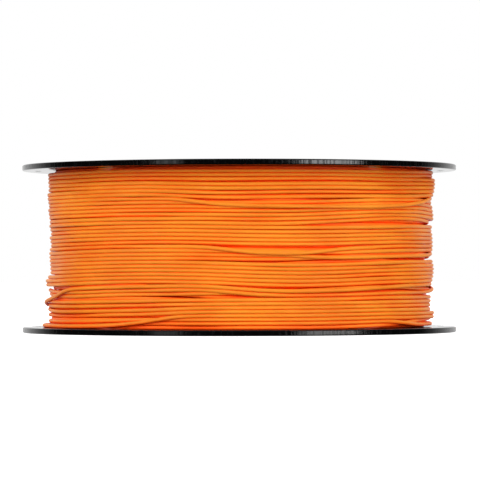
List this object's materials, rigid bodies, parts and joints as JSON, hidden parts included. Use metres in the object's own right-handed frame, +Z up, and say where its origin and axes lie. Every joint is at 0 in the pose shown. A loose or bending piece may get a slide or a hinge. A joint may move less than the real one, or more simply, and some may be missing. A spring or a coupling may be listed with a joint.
{
  "type": "filament spool",
  "caption": "Full filament spool: two thin flanges clipped onto a core tube, wound with round filament, with an open central bore for a holder's axle.",
  "frame": {"origin": "centre of the lower flange's outer face, on the spool's axis", "axes": "+Z up along the spool's axis; the label faces -Y and the free end leaves at +Y"},
  "size_m": [0.2, 0.2, 0.081],
  "materials": {
    "flange_plastic": "glossy moulded black polystyrene, a little scuffed on the rim",
    "core_plastic": "satin moulded black polystyrene",
    "filament": "semi-gloss orange extruded filament",
    "label_paper": "coated white paper, blank"
  },
  "bodies": {
    "root": {"lower_flange": "flange_plastic", "upper_flange": "flange_plastic", "core_tube": "core_plastic", "filament_winding": "filament", "filament_start": "filament", "filament_free_end": "filament", "label": "label_paper"}
  },
  "joints": []
}
